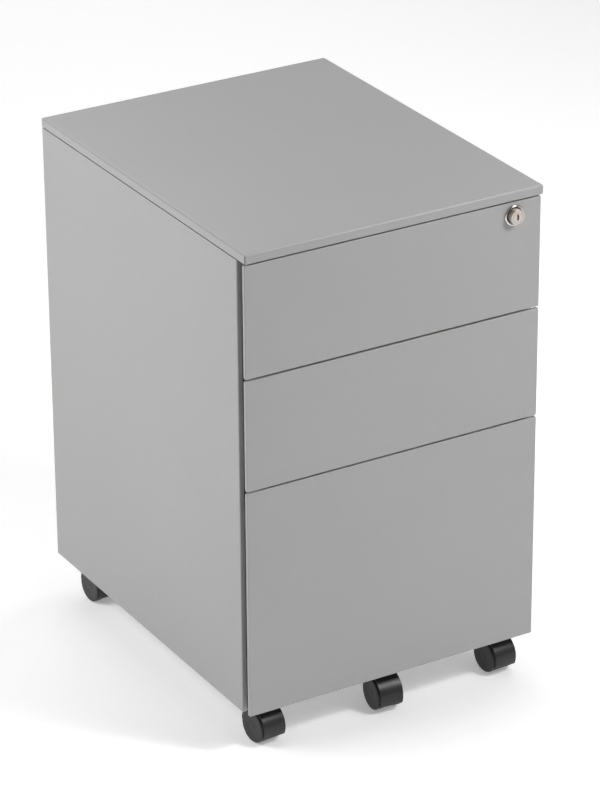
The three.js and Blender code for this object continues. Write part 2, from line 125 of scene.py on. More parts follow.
# Each soft light: name, place, the point that it looks at, size, and the setting with its power.
SOFT_LIGHTS = (
    ("left_light", (-1.3, 0.3, 1.2), (0, 0, 0.35), 0.8, "left_power"),
    ("front_light", (1.2, -1.6, 1.9), (0, 0, 0.35), 0.9, "front_power"),
    ("edge_light", (1.15, -1.62, 2.16), (0, 0, 0.5), 0.3, "edge_power"),
    ("right_light", (1.3, 0.6, 1.8), (0, 0, 0.35), 1.0, "right_power"),
    ("back_light", (0.6, 3.2, 3.0), (0.6, 3.1, 0), 2.4, "back_power"),
)
CAMERA_PLACE = (-2.0436, -3.4976, 2.2345)
CAMERA_AZIMUTH, CAMERA_ELEVATION, CAMERA_ROLL = (math.radians(angle) for angle in (-30.48, 25.49, -0.37))
CAMERA_LENS = 173.94


# ---------------------------------------------------------------- settings

def colour_setting(name, description, default):
    return bpy.props.FloatVectorProperty(
        name=name, description=description, default=default, subtype="COLOR", size=3, min=0, max=1
    )


def length_setting(name, description, default):
    return bpy.props.FloatProperty(
        name=name, description=description, default=default, min=0, unit="LENGTH", precision=5
    )


def strength_setting(name, description, default):
    return bpy.props.FloatProperty(name=name, description=description, default=default, min=0)


def power_setting(name, description, default):
    return bpy.props.FloatProperty(name=name, description=description, default=default, min=0, unit="POWER")


class PedestalFinishes(bpy.types.PropertyGroup):
    """Colours of the cabinet's finishes."""

    body_grey: colour_setting("Body grey", "Powder coat on the outer panels and fronts", (0.38, 0.38, 0.38))
    inner_grey: colour_setting("Inner grey", "Powder coat on the drawer boxes", (0.35, 0.35, 0.35))
    zinc: colour_setting("Zinc", "Plated runners, lock bar and file rails", (0.56, 0.57, 0.59))
    chrome: colour_setting("Chrome", "Lock bezel", (0.70, 0.69, 0.68))
    nickel: colour_setting("Nickel", "Lock barrel and plug", (0.60, 0.545, 0.50))
    castor_black: colour_setting("Castor black", "Moulded nylon of the castors", (0.016, 0.016, 0.0165))


class PedestalFolds(bpy.types.PropertyGroup):
    """Sizes of the sheet metal's folds and edges."""

    sheet: length_setting("Sheet", "Thickness of the steel sheet", 1.0 * MM)
    cover_bend: length_setting("Cover bend", "Outer radius of the top cover's edge", 2.3 * MM)
    cover_corner: length_setting("Cover corner", "Radius of the top cover's corners in plan", 1.4 * MM)
    corner_slit: length_setting("Corner slit", "Width of the open joint at the top cover's corners", 0.8 * MM)
    front_bend: length_setting("Front bend", "Outer radius of a drawer front's edge", 1.0 * MM)
    front_corner: length_setting("Front corner", "Radius of a drawer front's corners", 1.6 * MM)
    side_bend: length_setting("Side bend", "Outer radius of a side panel's folds", 1.5 * MM)
    cut_edge: length_setting("Cut edge", "Softened edge of the cut and folded sheet", 0.28 * MM)


class CastorDetails(bpy.types.PropertyGroup):
    """Sizes of the castors' moulded details."""

    wheel_edge: length_setting("Wheel edge", "Rounding of a wheel's outer edge", 2.2 * MM)
    hub_radius: length_setting("Hub", "Radius of the pressed-in hub cap", 6.5 * MM)
    hood_edge: length_setting("Hood edge", "Rounding of the hood's edges", 0.8 * MM)


class FastenerDetails(bpy.types.PropertyGroup):
    """Sizes of the screws, rivets and runner balls."""

    screw_radius: length_setting("Screw", "Radius of a pan head screw", 3.9 * MM)
    screw_height: length_setting("Screw height", "Height of a pan head", 1.7 * MM)
    rivet_radius: length_setting("Rivet", "Radius of a runner's rivet", 3.2 * MM)
    rivet_height: length_setting("Rivet height", "Height of a rivet's head", 0.9 * MM)
    cage_sheet: length_setting("Cage sheet", "Thickness of a ball cage", 0.6 * MM)


class StudioLook(bpy.types.PropertyGroup):
    """Tones and lights of the studio."""

    floor_tone: colour_setting("Floor", "Pale studio floor", (0.93, 0.93, 0.93))
    floor_glow: strength_setting("Floor glow", "Light that the floor gives out, as a lit table does", 0.28)
    sky_strength: strength_setting("Sky", "Strength of the even surrounding light", 0.15)
    left_power: power_setting("Left light", "Soft light above the left side", 13.6)
    front_power: power_setting("Front light", "Soft light above the front right", 21.5)
    edge_power: power_setting("Edge light", "Small light that the folded edges glint in", 17)
    right_power: power_setting("Right light", "Soft light above the right side", 8)
    back_power: power_setting("Back light", "Soft light on the floor behind", 53)


class PedestalSettings(bpy.types.PropertyGroup):
    """Everything that a user of the cabinet would change."""

    finishes: bpy.props.PointerProperty(type=PedestalFinishes)
    folds: bpy.props.PointerProperty(type=PedestalFolds)
    castors: bpy.props.PointerProperty(type=CastorDetails)
    fasteners: bpy.props.PointerProperty(type=FastenerDetails)
    studio: bpy.props.PointerProperty(type=StudioLook)


# ---------------------------------------------------------------- finishes

class NodeSheet:
    """A material's nodes, added and linked by short calls."""

    def __init__(self, name):
        self.material = bpy.data.materials.new(name)
        self.material.use_nodes = True
        self.tree = self.material.node_tree
        self.shader = self.tree.nodes["Principled BSDF"]

    def add(self, kind, **values):
        node = self.tree.nodes.new(kind)
        for key, value in values.items():
            if key in node.inputs:
                node.inputs[key].default_value = value
            else:
                setattr(node, key, value)
        return node

    def link(self, source, target):
        self.tree.links.new(source, target)

    def grain(self, scale, detail=3.0, stretch=(1, 1, 1)):
        place = self.add("ShaderNodeTexCoord")
        mapping = self.add("ShaderNodeMapping")
        mapping.inputs["Scale"].default_value = stretch
        noise = self.add("ShaderNodeTexNoise", Scale=scale, Detail=detail)
        self.link(place.outputs["Object"], mapping.inputs["Vector"])
        self.link(mapping.outputs["Vector"], noise.inputs["Vector"])
        return noise.outputs["Fac"]

    def tint(self, source, colour, spread):
        """The colour, varied by the grain from darker to lighter by spread."""
        ramp = self.add("ShaderNodeValToRGB")
        ramp.color_ramp.elements[0].position = 0.3
        ramp.color_ramp.elements[1].position = 0.7
        ramp.color_ramp.elements[0].color = (*[c * (1 - spread) for c in colour], 1)
        ramp.color_ramp.elements[1].color = (*[min(1, c * (1 + spread)) for c in colour], 1)
        self.link(source, ramp.inputs["Fac"])
        self.link(ramp.outputs["Color"], self.shader.inputs["Base Color"])

    def roughness(self, source, low, high):
        span = self.add("ShaderNodeMapRange")
        span.inputs["To Min"].default_value = low
        span.inputs["To Max"].default_value = high
        self.link(source, span.inputs["Value"])
        self.link(span.outputs["Result"], self.shader.inputs["Roughness"])

    def relief(self, source, strength, distance):
        bump = self.add("ShaderNodeBump", Strength=strength, Distance=distance)
        self.link(source, bump.inputs["Height"])
        self.link(bump.outputs["Normal"], self.shader.inputs["Normal"])


def powder_coat(name, colour):
    sheet = NodeSheet(name)
    sheet.tint(sheet.grain(5, 2), colour, 0.012)
    sheet.roughness(sheet.grain(70, 3), 0.30, 0.36)
    sheet.relief(sheet.grain(1100, 2), 0.10, 0.15 * MM)
    sheet.shader.inputs["Specular IOR Level"].default_value = 0.46
    return sheet.material


def zinc_plate(name, colour):
    sheet = NodeSheet(name)
    sheet.tint(sheet.grain(45, 4, (1, 0.12, 1)), colour, 0.07)
    sheet.roughness(sheet.grain(220, 4, (1, 0.05, 1)), 0.26, 0.42)
    sheet.relief(sheet.grain(900, 3, (1, 0.05, 1)), 0.12, 0.05 * MM)
    sheet.shader.inputs["Metallic"].default_value = 1
    return sheet.material


def polished_chrome(name, colour):
    sheet = NodeSheet(name)
    sheet.tint(sheet.grain(300, 2), colour, 0.02)
    sheet.roughness(sheet.grain(1500, 4), 0.05, 0.13)
    sheet.relief(sheet.grain(400, 2), 0.03, 0.05 * MM)
    sheet.shader.inputs["Metallic"].default_value = 1
    return sheet.material


def satin_nickel(name, colour):
    sheet = NodeSheet(name)
    sheet.tint(sheet.grain(500, 4), colour, 0.05)
    sheet.roughness(sheet.grain(2200, 4), 0.30, 0.42)
    sheet.relief(sheet.grain(3000, 3), 0.10, 0.03 * MM)
    sheet.shader.inputs["Metallic"].default_value = 1
    return sheet.material


def moulded_nylon(name, colour):
    sheet = NodeSheet(name)
    sheet.tint(sheet.grain(60, 3), colour, 0.10)
    sheet.roughness(sheet.grain(400, 3), 0.36, 0.46)
    sheet.relief(sheet.grain(1600, 3), 0.22, 0.10 * MM)
    sheet.shader.inputs["Specular IOR Level"].default_value = 0.46
    return sheet.material


def studio_floor(name, colour, glow):
    sheet = NodeSheet(name)
    sheet.tint(sheet.grain(1.5, 2), colour, 0.004)
    sheet.roughness(sheet.grain(12, 2), 0.75, 0.85)
    sheet.shader.inputs["Emission Color"].default_value = (1, 1, 1, 1)
    sheet.shader.inputs["Emission Strength"].default_value = glow
    return sheet.material


FINISHES = {
    "silver_paint": (powder_coat, "body_grey"),
    "inner_paint": (powder_coat, "inner_grey"),
    "zinc": (zinc_plate, "zinc"),
    "steel": (zinc_plate, "zinc"),
    "chrome": (polished_chrome, "chrome"),
    "nickel": (satin_nickel, "nickel"),
    "castor_plastic": (moulded_nylon, "castor_black"),
}


def finish_for(slot):
    """The material of a record slot, made on first use."""
    name = f"{slot}_finish"
    found = bpy.data.materials.get(name)
    if found:
        return found
    make, colour_name = FINISHES[slot]
    colour = getattr(bpy.context.scene.pedestal.finishes, colour_name)
    return make(name, tuple(colour))


# ---------------------------------------------------------------- mesh helpers

def new_piece(name, bm, slot, body, replaced=(), bevel=0.0):
    """Makes an object of the bmesh, gives it its finish and its body, and hides what it stands for."""
    bmesh.ops.recalc_face_normals(bm, faces=bm.faces[:])
    mesh = bpy.data.meshes.new(name)
    bm.to_mesh(mesh)
    bm.free()
    piece = bpy.data.objects.new(name, mesh)
    bpy.context.scene.collection.objects.link(piece)
    mesh.materials.append(finish_for(slot))
    soften(piece, bevel)
    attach(piece, body)
    if replaced:
        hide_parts(*replaced)
    return piece


def soften(piece, bevel):
    """Rounds the sharp edges and shades the flat faces flat."""
    for polygon in piece.data.polygons:
        polygon.use_smooth = True
    if bevel:
        edges = piece.modifiers.new("softened edges", "BEVEL")
        edges.width = bevel
        edges.segments = 3
        edges.limit_method = "ANGLE"
        edges.angle_limit = math.radians(40)
    else:
        piece.data.set_sharp_from_angle(angle=math.radians(50))
    shading = piece.modifiers.new("flat faces", "WEIGHTED_NORMAL")
    shading.keep_sharp = True
    shading.weight = 80


def dress_node(name, slot, bevel):
    """Gives a CAD node its finish and softened edges; its own mesh stays as it is."""
    node = frame["nodes"][name]
    weld = node.modifiers.new("joined corners", "WELD")
    weld.merge_threshold = 0.01 * MM
    flat = node.modifiers.new("whole faces", "DECIMATE")
    flat.decimate_type = "DISSOLVE"
    flat.angle_limit = math.radians(1)
    node.data.materials.clear()
    node.data.materials.append(finish_for(slot))
    soften(node, bevel)


def join_rings(bm, lower, upper):
    """Faces between two rings of points; a ring of one point is a tip."""
    count = max(len(lower), len(upper))
    for i in range(count):
        j = (i + 1) % count
        corners = [lower[i % len(lower)], lower[j % len(lower)], upper[j % len(upper)], upper[i % len(upper)]]
        bm.faces.new(list(dict.fromkeys(corners)))


def revolve(bm, profile, segments, matrix, closed=False):
    """Turns a profile of (radius, height) points about the matrix's Z axis."""
    rings = []
    for radius, height in profile:
        count = segments if radius > 1e-7 else 1
        rings.append([
            bm.verts.new(matrix @ Vector((radius * math.cos(a), radius * math.sin(a), height)))
            for a in (math.tau * i / segments for i in range(count))
        ])
    pairs = list(zip(rings, rings[1:]))
    if closed:
        pairs.append((rings[-1], rings[0]))
    for lower, upper in pairs:
        join_rings(bm, lower, upper)


def arc(centre, radius, start, end, steps):
    """Points of an arc, its angles in degrees."""
    angles = [math.radians(start + (end - start) * i / steps) for i in range(steps + 1)]
    return [(centre[0] + radius * math.cos(a), centre[1] + radius * math.sin(a)) for a in angles]


def rounded_rectangle(half_u, half_v, radius, steps=6):
    points = []
    for quarter, (su, sv) in enumerate(((1, 1), (-1, 1), (-1, -1), (1, -1))):
        centre = (su * (half_u - radius), sv * (half_v - radius))
        points += arc(centre, radius, 90 * quarter, 90 * quarter + 90, steps)
    return points


def nested_rings(bm, half_u, half_v, corner, levels, matrix):
    """A closed skin through rounded rectangles, each one inset by its level's first number."""
    rings = []
    for inset, height in levels:
        outline = rounded_rectangle(half_u - inset, half_v - inset, max(corner - inset, 0.25 * MM))
        rings.append([bm.verts.new(matrix @ Vector((u, v, height))) for u, v in outline])
    for lower, upper in zip(rings, rings[1:]):
        join_rings(bm, lower, upper)
    bm.faces.new(rings[0])
    bm.faces.new(rings[-1])


def folded_pan(bm, half_u, half_v, depth, corner, bend, sheet, returned, matrix):
    """A shallow sheet pan whose lips fold back inwards. Its face is at height 0 and its depth runs down."""
    inner = max(bend - sheet, 0.3 * MM)
    face = arc((bend, -bend), bend, 90, 180, 5)
    lip = arc((bend, bend - depth), bend, 180, 270, 5)
    lip_inside = arc((sheet + inner, sheet + inner - depth), inner, 270, 180, 4)
    face_inside = arc((sheet + inner, -sheet - inner), inner, 180, 90, 4)
    edge = [(returned, -depth), (returned, sheet - depth)]
    nested_rings(bm, half_u, half_v, corner, face + lip + edge + lip_inside + face_inside, matrix)


def round_bar(radius, start, end, segments, matrix):
    """A round bar from start to end along the matrix's Z axis, to cut with or to add."""
    bm = bmesh.new()
    revolve(bm, [(0, start), (radius, start), (radius, end), (0, end)], segments, matrix)
    return bm


def folded_outline(path, sheet, bend):
    """The closed section of a sheet that follows a path of right-angle turns, all to the same hand."""
    corners = [Vector(point) for point in path]
    ways = [(b - a).normalized() for a, b in zip(corners, corners[1:])]
    outer, inner = [corners[0]], [corners[0] + ways[1] * sheet]
    for corner, coming, going in zip(corners[1:], ways, ways[1:]):
        centre = corner + (going - coming) * bend
        for along, against in arc((0, 0), 1, 0, 90, 6):
            radial = coming * against - going * along
            outer.append(centre + radial * bend)
            inner.append(centre + radial * (bend - sheet))
    outer.append(corners[-1])
    inner.append(corners[-1] - ways[-2] * sheet)
    return [tuple(point) for point in outer + inner[::-1]]


def prism(bm, outline, start, end, matrix):
    """Extrudes a closed outline of (u, v) points from height start to height end."""
    rings = [[bm.verts.new(matrix @ Vector((u, v, h))) for u, v in outline] for h in (start, end)]
    join_rings(bm, rings[0], rings[1])
    bm.faces.new(rings[0])
    bm.faces.new(rings[1])


def looking(direction, origin):
    """A matrix whose Z axis points along direction, at origin."""
    turn = Vector(direction).to_track_quat("Z", "Y").to_matrix().to_4x4()
    return Matrix.Translation(Vector(origin)) @ turn


def cut_away(piece, cutter_bm):
    """Subtracts the cutter from the piece's own mesh."""
    combine(piece, cutter_bm, "DIFFERENCE")


def combine(piece, other_bm, operation):
    """Joins or cuts the piece's own mesh with the other one; the piece's modifiers stay on it."""
    bmesh.ops.recalc_face_normals(other_bm, faces=other_bm.faces[:])
    mesh = bpy.data.meshes.new("tool")
    other_bm.to_mesh(mesh)
    other_bm.free()
    tool = bpy.data.objects.new("tool", mesh)
    bpy.context.scene.collection.objects.link(tool)
    kept = [(m.name, m.show_viewport) for m in piece.modifiers]
    for modifier in piece.modifiers:
        modifier.show_viewport = False
    step = piece.modifiers.new("cut", "BOOLEAN")
    step.operation = operation
    step.solver = "EXACT"
    step.object = tool
    result = bpy.data.meshes.new_from_object(piece.evaluated_get(bpy.context.evaluated_depsgraph_get()))
    piece.modifiers.remove(step)
    for name, shown in kept:
        piece.modifiers[name].show_viewport = shown
    result.name = piece.data.name
    piece.data = result
    bpy.data.objects.remove(tool)


def screw_head(bm, place, direction, radius, height):
    """A pan head with a round recess."""
    matrix = looking(direction, place)
    dome = arc((radius - height * 0.6, height * 0.4), height * 0.6, 0, 90, 4)
    recess = [(radius * 0.4, height), (radius * 0.33, height * 0.5), (0, height * 0.5)]
    revolve(bm, [(0, 0), (radius, 0)] + dome + recess, 18, matrix)


def rivet_head(bm, place, direction, radius, height):
    """A low domed rivet with the small hole that its mandrel leaves."""
    matrix = looking(direction, place)
    revolve(bm, [(0, 0), (radius, 0), (radius * 0.94, height * 0.5), (radius * 0.7, height * 0.9),
                 (radius * 0.42, height), (radius * 0.3, height * 0.75), (0, height * 0.6)], 16, matrix)


def ball(bm, place, radius):
    bmesh.ops.create_icosphere(bm, subdivisions=2, radius=radius, matrix=Matrix.Translation(place))


# ---------------------------------------------------------------- builders

class PEDESTAL_OT_panels(bpy.types.Operator):
    """Folds the side panels and finishes the back, base and front rail"""

    bl_idname = "pedestal.panels"
    bl_label = "Panels"

    def execute(self, context):
        folds = context.scene.pedestal.folds
        for side, way in zip(SIDES, (-1, 1)):
            self.build_side(f"{side}_side", way, folds)
        for name in ("back_panel", "base_tray", "front_top_rail"):
            dress_node(name, "silver_paint", folds.cut_edge)
        return {"FINISHED"}

    def build_side(self, name, way, folds):
        low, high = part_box(name)
        outer = max(abs(low.x), abs(high.x))
        back_flange = min(abs(low.x), abs(high.x))
        path = [(back_flange, high.y), (outer, high.y), (outer, low.y), (outer - SIDE_FRONT_RETURN, low.y)]
        section = folded_outline([(way * x, y) for x, y in path], folds.sheet, folds.side_bend)
        bm = bmesh.new()
        prism(bm, section, low.z, high.z, Matrix())
        panel = new_piece(f"{name}_folded", bm, "silver_paint", "carcass", [name], folds.cut_edge)
        self.add_end_flanges(panel, low, high, outer, back_flange, way, folds)

    def add_end_flanges(self, panel, low, high, outer, inner, way, folds):
        half = folds.sheet / 2
        front, back = low.y + half, high.y - half
        flange = [(outer - half, front), (outer - half, back), (inner + FLANGE_MITRE, back),
                  (inner, back - FLANGE_MITRE), (inner, front + FLANGE_MITRE), (inner + FLANGE_MITRE, front)]
        flange = [(way * x, y) for x, y in flange]
        for bottom in (low.z + END_FLANGE_SETBACK, high.z - END_FLANGE_SETBACK):
            fold = bmesh.new()
            prism(fold, flange, bottom, bottom + folds.sheet, Matrix())
            combine(panel, fold, "UNION")


class PEDESTAL_OT_top_cover(bpy.types.Operator):
    """Builds the lipped top cover with its rounded edges"""

    bl_idname = "pedestal.top_cover"
    bl_label = "Top cover"

    def execute(self, context):
        folds = context.scene.pedestal.folds
        low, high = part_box("top_cover")
        middle = (low + high) / 2
        half = (high - low) / 2
        bm = bmesh.new()
        place = Matrix.Translation((middle.x, middle.y, high.z))
        folded_pan(bm, half.x, half.y, high.z - low.z, folds.cover_corner, folds.cover_bend, folds.sheet,
                   COVER_RETURN, place)
        cover = new_piece("top_cover_folded", bm, "silver_paint", "carcass", ["top_cover"])
        slits = bmesh.new()
        half_width = folds.corner_slit / 2
        slit = [(-SLIT_IN, -half_width), (SLIT_OUT, -half_width), (SLIT_OUT, half_width),
                (-SLIT_IN, half_width)]
        for quarter, (sx, sy) in enumerate(((1, 1), (-1, 1), (-1, -1), (1, -1))):
            corner = Matrix.Translation((middle.x + sx * half.x, middle.y + sy * half.y, low.z))
            turned = corner @ Matrix.Rotation(math.radians(45 + 90 * quarter), 4, "Z")
            prism(slits, slit, -1 * MM, high.z - low.z - folds.cover_bend * 0.6, turned)
        cut_away(cover, slits)
        return {"FINISHED"}


class PEDESTAL_OT_drawer_fronts(bpy.types.Operator):
    """Builds the three folded drawer fronts"""

    bl_idname = "pedestal.drawer_fronts"
    bl_label = "Drawer fronts"

    def execute(self, context):
        folds = context.scene.pedestal.folds
        for drawer in DRAWERS:
            low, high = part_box(f"{drawer}_front")
            middle = (low + high) / 2
            half = (high - low) / 2
            upright = Matrix.Rotation(math.radians(90), 4, "X")
            place = Matrix.Translation((middle.x, low.y, middle.z)) @ upright
            bm = bmesh.new()
            folded_pan(bm, half.x, half.z, high.y - low.y, folds.front_corner, folds.front_bend, folds.sheet,
                       FRONT_RETURN, place)
            piece = new_piece(f"{drawer}_front_folded", bm, "silver_paint", drawer, [f"{drawer}_front"])
            if drawer == "drawer_1":
                barrel_low, barrel_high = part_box("lock_barrel")
                centre = (barrel_low + barrel_high) / 2
                radius = (barrel_high.x - barrel_low.x) / 2 + 0.4 * MM
                through = looking((0, 1, 0), (centre.x, (low.y + high.y) / 2, centre.z))
                cut_away(piece, round_bar(radius, -8 * MM, 8 * MM, 48, through))
        return {"FINISHED"}


class PEDESTAL_OT_drawer_boxes(bpy.types.Operator):
    """Finishes the drawer boxes and the file rails"""

    bl_idname = "pedestal.drawer_boxes"
    bl_label = "Drawer boxes"

    def execute(self, context):
        edge = context.scene.pedestal.folds.cut_edge
        for drawer in DRAWERS:
            dress_node(f"{drawer}_box", "inner_paint", edge)
        for side in SIDES:
            dress_node(f"file_rail_{side}", "zinc", edge)
        return {"FINISHED"}


class PEDESTAL_OT_runners(bpy.types.Operator):
    """Finishes the drawer runners and lays the balls between them"""

    bl_idname = "pedestal.runners"
    bl_label = "Runners"

    def execute(self, context):
        edge = context.scene.pedestal.folds.cut_edge
        for drawer in DRAWERS:
            for side in SIDES:
                for member in ("fixed", "middle", "moving"):
                    name = f"{drawer}_runner_{member}_{side}"
                    if name in frame["nodes"]:
                        dress_node(name, "zinc", edge)
        sheet = context.scene.pedestal.fasteners.cage_sheet
        for side, way in zip(SIDES, (-1, 1)):
            for drawer in DRAWERS[:2]:
                runner = f"{drawer}_runner_fixed_{side}"
                self.build_cage(f"{drawer}_cage_{side}", runner, "carcass", way, sheet, LIGHT_CAGE)
            runner = f"drawer_3_runner_fixed_{side}"
            self.build_cage(f"drawer_3_outer_cage_{side}", runner, "carcass", way, sheet, FILE_OUTER_CAGE)
            self.build_cage(f"drawer_3_inner_cage_{side}", runner, f"runner_middle_{side}", way, sheet,
                            FILE_INNER_CAGE)
        return {"FINISHED"}

    def build_cage(self, name, runner, body, way, sheet, sizes):
        """Two rows of balls, each in its strip; a web joins the strips where there is room for one."""
        radius, across, rise, front, back, web = sizes
        low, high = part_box(runner)
        middle = (low.z + high.z) / 2
        half = sheet / 2
        bm = bmesh.new()
        along = looking((0, 1, 0), (0, 0, middle))
        # turned.x is 1 or -1: this side's direction, in the frame that looks along the runner
        turned = along.inverted() @ Vector((way, 0, middle))
        if web:
            path = [(across, rise + half), (web, rise + half), (web, -rise - half), (across, -rise - half)]
            section = folded_outline([(turned.x * x, z) for x, z in path], sheet, 0.9 * MM)
            prism(bm, section, front, back, along)
        else:
            for z in (-rise, rise):
                strip = [(across - 1.5 * MM, z - half), (across + 1.6 * MM, z - half),
                         (across + 1.6 * MM, z + half), (across - 1.5 * MM, z + half)]
                prism(bm, [(turned.x * x, v) for x, v in strip], front, back, along)
        for i in range(BALLS_PER_ROW):
            y = front + (back - front) * (i + 0.5) / BALLS_PER_ROW
            for z in (-rise, rise):
                ball(bm, (way * across, y, middle + z), radius)
        new_piece(name, bm, "zinc", body)


class PEDESTAL_OT_lock(bpy.types.Operator):
    """Builds the cylinder lock with its bezel, barrel, plug and keyway"""

    bl_idname = "pedestal.lock"
    bl_label = "Lock"

    def execute(self, context):
        low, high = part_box("lock_barrel")
        centre = (low + high) / 2
        outer = (high.x - low.x) / 2
        plug_low, plug_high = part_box("lock_plug")
        plug_radius = (plug_high.x - plug_low.x) / 2
        outwards = looking((0, -1, 0), (centre.x, low.y, centre.z))
        length = high.y - low.y

        bore = plug_radius + 0.08 * MM
        rim = 0.6 * MM
        bm = bmesh.new()
        profile = [(bore, -length), (outer, -length), (outer, -rim)]
        profile += arc((outer - rim, -rim), rim, 0, 90, 5)[1:]
        profile += [(bore + 0.12 * MM, 0), (bore, -0.12 * MM)]
        revolve(bm, profile, 72, outwards, closed=True)
        new_piece("lock_barrel_turned", bm, "nickel", "carcass", ["lock_barrel"])

        bm = bmesh.new()
        back = plug_high.y - plug_low.y
        chamfer = 0.12 * MM
        revolve(bm, [(0, -back), (plug_radius, -back), (plug_radius, -chamfer), (plug_radius - chamfer, 0),
                     (0, 0)], 64, outwards)
        plug = new_piece("lock_plug_turned", bm, "nickel", "lock_core", ["lock_plug"])
        keyway = bmesh.new()
        prism(keyway, [(u * MM, v * MM) for u, v in KEYWAY], -KEYWAY_DEPTH, 1 * MM, outwards)
        cut_away(plug, keyway)

        bezel_low, bezel_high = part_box("lock_bezel")
        bezel_radius = (bezel_high.x - bezel_low.x) / 2
        height = bezel_high.y - bezel_low.y
        opening = outer + 0.75 * MM
        width = bezel_radius - opening
        bm = bmesh.new()
        crown = [(opening + width * (0.5 + u / 2), height * v) for u, v in arc((0, 0), 1, 0, 180, 14)]
        profile = [(opening, 0)] + crown
        revolve(bm, profile[:-1], 72, looking((0, -1, 0), (centre.x, bezel_high.y, centre.z)), closed=True)
        new_piece("lock_bezel_turned", bm, "chrome", "drawer_1", ["lock_bezel"])

        rail_low, rail_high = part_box("front_top_rail")
        bm = bmesh.new()
        hexagon = arc((0, 0), NUT_RADIUS, 0, 300, 5)
        seat = looking((0, 1, 0), (centre.x, rail_low.y + NUT_SEAT, centre.z))
        prism(bm, hexagon, 0, NUT_HEIGHT, seat)
        nut = new_piece("lock_nut", bm, "zinc", "carcass", bevel=0.35 * MM)
        through = looking((0, 1, 0), (centre.x, rail_low.y, centre.z))
        cut_away(nut, round_bar(outer + 0.05 * MM, -20 * MM, 20 * MM, 48, through))

        for name in ("lock_cam", "lock_bar"):
            dress_node(name, "zinc", context.scene.pedestal.folds.cut_edge)
        return {"FINISHED"}


class PEDESTAL_OT_castors(bpy.types.Operator):
    """Builds the five hooded twin-wheel castors"""

    bl_idname = "pedestal.castors"
    bl_label = "Castors"

    def execute(self, context):
        details = context.scene.pedestal.castors
        for castor in CASTORS:
            stem = Vector(JOINTS[f"{castor}_turn"]["pos_m"])
            spin = JOINTS[f"{castor}_wheel_left_spin"]
            axle = Vector(spin["pos_m"])
            across = Vector(spin["axis"])
            back = Vector((0, 0, 1)).cross(across).normalized()
            hood_frame = Matrix((across, back, (0, 0, 1))).transposed().to_4x4()
            hood_frame.translation = axle
            self.build_hood(castor, hood_frame, stem, axle, details)
            for side in SIDES:
                self.build_wheel(castor, side, axle, across, details)
            for part in ("mount", "axle"):
                dress_node(f"{castor}_{part}", "steel", 0.3 * MM)
        return {"FINISHED"}

    def build_wheel(self, castor, side, axle, across, details):
        outwards = across if side == "right" else -across
        tread = axle.z
        edge = details.wheel_edge
        hub = details.hub_radius
        face = WHEEL_OUTER - WHEEL_DISH
        profile = [(0, face), (hub - 0.5 * MM, face), (hub - 0.25 * MM, face - 0.12 * MM),
                   (hub, face), (tread * 0.7, WHEEL_OUTER - 0.08 * MM)]
        profile += arc((tread - edge, WHEEL_OUTER - edge), edge, 88, 0, 8)
        profile += arc((tread - 0.8 * MM, WHEEL_INNER + 0.8 * MM), 0.8 * MM, 0, -90, 4)
        profile += [(WHEEL_BORE, WHEEL_INNER), (WHEEL_BORE, WHEEL_OUTER - 2 * MM), (0, WHEEL_OUTER - 2 * MM)]
        bm = bmesh.new()
        revolve(bm, profile, 72, looking(outwards, axle))
        name = f"{castor}_wheel_{side}"
        new_piece(f"{name}_moulded", bm, "castor_plastic", name, [name])

    def build_hood(self, castor, hood_frame, stem, axle, details):
        across = Matrix.Rotation(math.radians(90), 4, "Y") @ Matrix.Rotation(math.radians(90), 4, "Z")
        shell = arc((0, 0), HOOD_RADIUS, 0, HOOD_FRONT_ANGLE, 60)
        shell += arc((0, 0), HOOD_INNER_RADIUS, HOOD_FRONT_ANGLE, 0, 60)
        bm = bmesh.new()
        prism(bm, shell, -HOOD_HALF_WIDTH, HOOD_HALF_WIDTH, hood_frame @ across)
        swivel = f"{castor}_swivel"
        piece = new_piece(f"{castor}_hood_moulded", bm, "castor_plastic", swivel, [f"{castor}_hood"],
                          details.hood_edge)
        body = bmesh.new()
        prism(body, arc((0, 0), HOOD_INNER_RADIUS + 0.5 * MM, -25, 205, 48), -HOOD_BODY_HALF_WIDTH,
              HOOD_BODY_HALF_WIDTH, hood_frame @ across)
        combine(piece, body, "UNION")
        low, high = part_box(f"{castor}_hood")
        upright = Matrix.Translation((stem.x, stem.y, 0))
        combine(piece, round_bar(BOSS_RADIUS, BOSS_BOTTOM, high.z, 40, upright), "UNION")
        cut_away(piece, round_bar(STEM_BORE_RADIUS, STEM_BORE_BOTTOM, high.z + 1 * MM, 40, upright))


